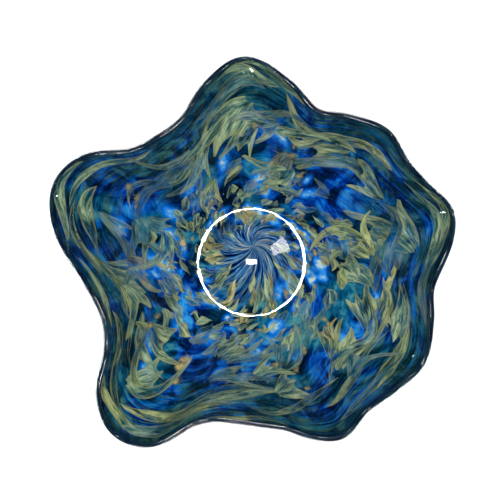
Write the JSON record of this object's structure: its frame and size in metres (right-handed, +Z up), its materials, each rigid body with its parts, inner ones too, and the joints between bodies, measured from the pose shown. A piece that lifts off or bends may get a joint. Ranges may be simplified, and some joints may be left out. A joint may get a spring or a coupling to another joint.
{
  "type": "art glass bowl",
  "caption": "Wide blown glass bowl on a flat ground foot, its flared wall pulled into waves at the rim, with coloured layers between a clear lining and a clear casing.",
  "frame": {"origin": "Centre of the flat ground foot under the bowl, in the plane that it rests on.", "axes": "+Z is up, out of the bowl's mouth. +X points to the side of the bowl that is the right-hand side when it is seen from above with +Y away from the viewer."},
  "size_m": [0.4034, 0.388, 0.128],
  "materials": {
    "clear_lining": "clear fire-polished glass",
    "olive_shards": "streaky olive glass, semi-opaque",
    "blue_overlay": "transparent cobalt glass shading to teal",
    "opal_frit": "translucent opal glass, cream to amber",
    "clear_casing": "clear fire-polished glass, ground and polished flat under the foot",
    "lip_wrap": "very dark blue fire-polished glass"
  },
  "bodies": {
    "root": {"clear_lining": "clear_lining", "olive_shards": "olive_shards", "blue_overlay": "blue_overlay", "opal_frit": "opal_frit", "clear_casing": "clear_casing", "lip_wrap": "lip_wrap"}
  },
  "joints": []
}
